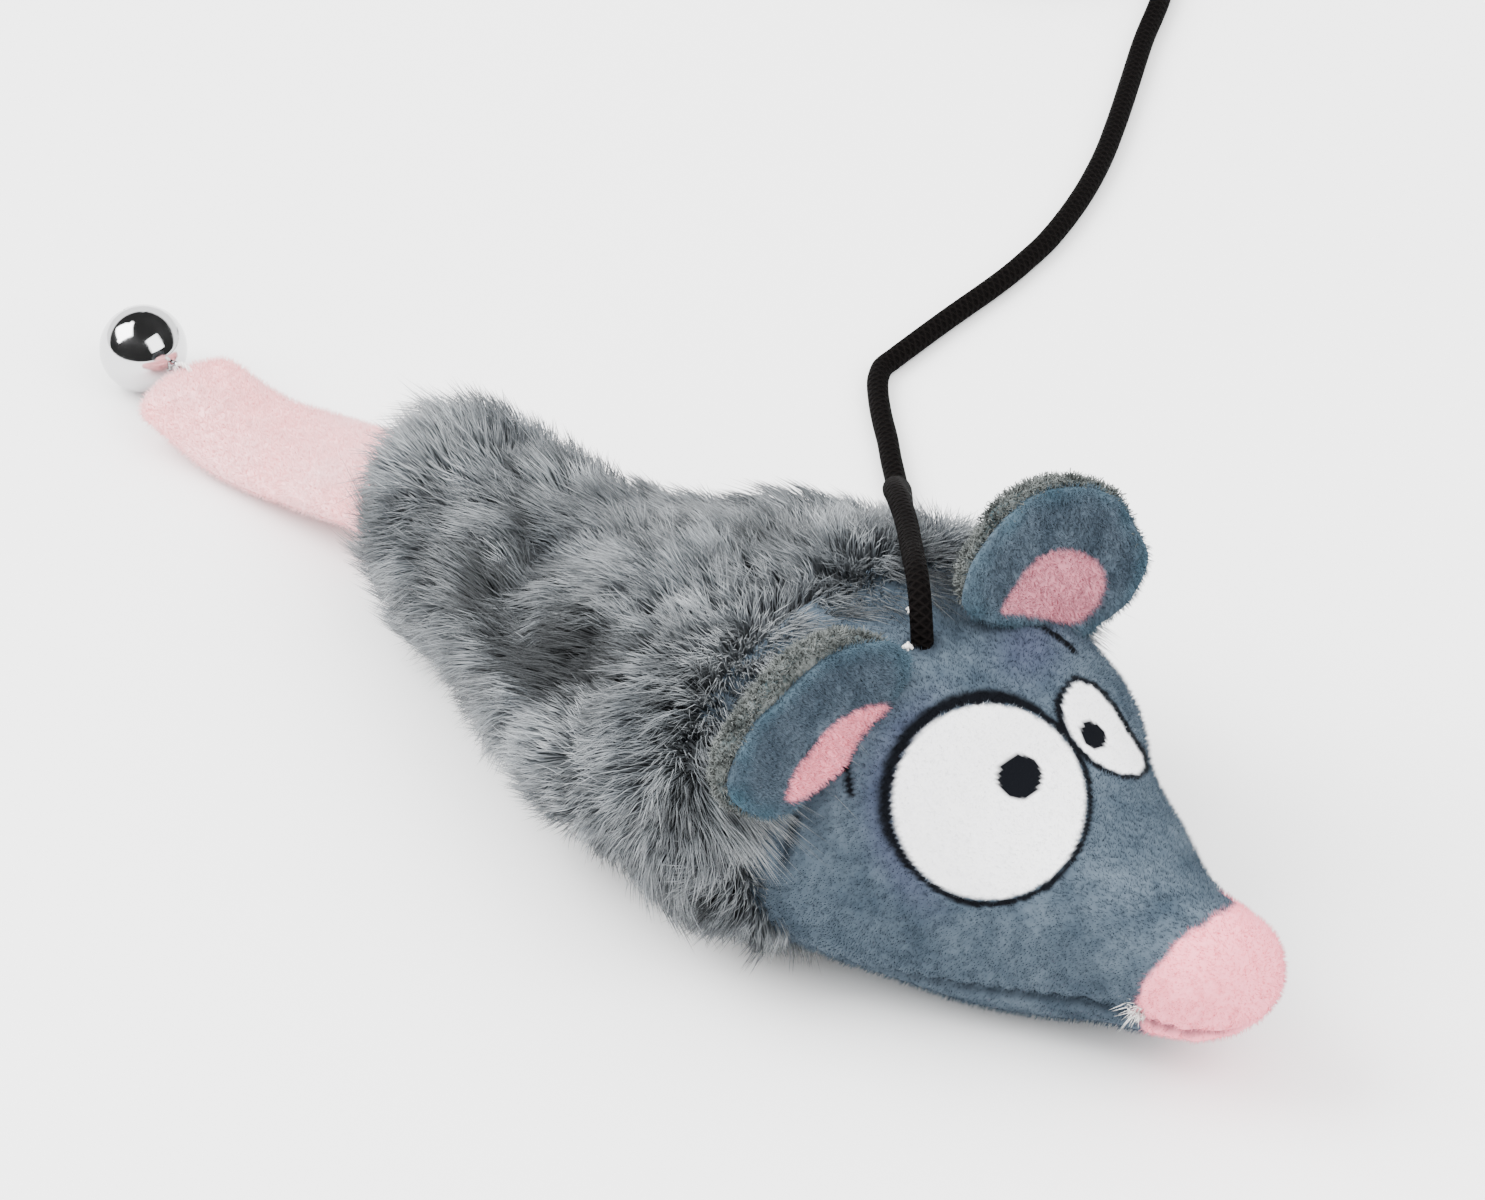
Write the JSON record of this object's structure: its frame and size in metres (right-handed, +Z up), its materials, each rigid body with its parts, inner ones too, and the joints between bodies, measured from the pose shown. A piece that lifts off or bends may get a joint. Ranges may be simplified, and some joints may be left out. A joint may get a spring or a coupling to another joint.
{
  "type": "plush rat cat toy",
  "caption": "Stuffed plush rat for cats with a furry sleeve body, sewn ears, a flat tail ending in a jingle bell, and an elastic cord.",
  "frame": {"origin": "on the floor under the middle of the toy lying on its belly, its cord left aside", "axes": "+X towards the nose, +Y to the toy's left, +Z up"},
  "size_m": [0.2478, 0.3079, 0.0576],
  "materials": {
    "printed_plush": "matte",
    "grey_fleece": "matte",
    "grey_fur": "matte",
    "pink_plush": "matte",
    "stuffing_fibre": "matte",
    "white_thread": "matte",
    "black_elastic": "matte",
    "bell_chrome": "polished",
    "steel": "satin"
  },
  "bodies": {
    "trunk": {"fur_sleeve": "grey_fur", "body_stuffing": "stuffing_fibre", "elastic_cord": "black_elastic", "cord_coil": "black_elastic", "end_knot": "black_elastic", "end_loop": "black_elastic"},
    "head": {"head_cover": "printed_plush", "chin_panel": "printed_plush", "head_stuffing": "stuffing_fibre", "cord_anchor_knot": "black_elastic", "cord_tack_thread": "white_thread", "jaw_thread_end": "white_thread"},
    "ear_right": {"ear_front_right": "printed_plush", "ear_back_right": "grey_fleece"},
    "ear_left": {"ear_front_left": "printed_plush", "ear_back_left": "grey_fleece"},
    "tail": {"tail_top_panel": "pink_plush", "tail_bottom_panel": "pink_plush", "bell_thread": "white_thread"},
    "bell": {"bell_loop_shell": "bell_chrome", "bell_slotted_shell": "bell_chrome"},
    "pellet": {"bell_pellet": "steel"}
  },
  "joints": [
    {"name": "neck_nod", "type": "hinge", "parent": "trunk", "child": "head", "pos_m": [0.04629, 0, 0.02225], "axis": [0, 1, 0], "range_deg": [-12, 10], "stiffness_Nm_per_rad": 0.05, "deforming": ["elastic_cord"]},
    {"name": "ear_right_flop", "type": "hinge", "parent": "head", "child": "ear_right", "pos_m": [0.06079, -0.018, 0.03664], "axis": [0.1608, -0.8038, -0.5728], "range_deg": [-16, 16], "stiffness_Nm_per_rad": 0.004},
    {"name": "ear_left_flop", "type": "hinge", "parent": "head", "child": "ear_left", "pos_m": [0.06079, 0.018, 0.03664], "axis": [-0.1608, -0.8038, 0.5728], "range_deg": [-16, 16], "stiffness_Nm_per_rad": 0.004},
    {"name": "tail_lift", "type": "hinge", "parent": "trunk", "child": "tail", "pos_m": [-0.05771, 0.0085, 0.0091], "axis": [0, 1, 0], "range_deg": [-28, 38], "stiffness_Nm_per_rad": 0.01},
    {"name": "bell_swing", "type": "hinge", "parent": "tail", "child": "bell", "pos_m": [-0.10656, 0.0102, 0.0061], "axis": [0, 0, 1], "range_deg": [-40, 40]},
    {"name": "pellet_slide", "type": "slide", "parent": "bell", "child": "pellet", "axis": [0, 0, 1], "range_m": [0, 0.0068]}
  ]
}
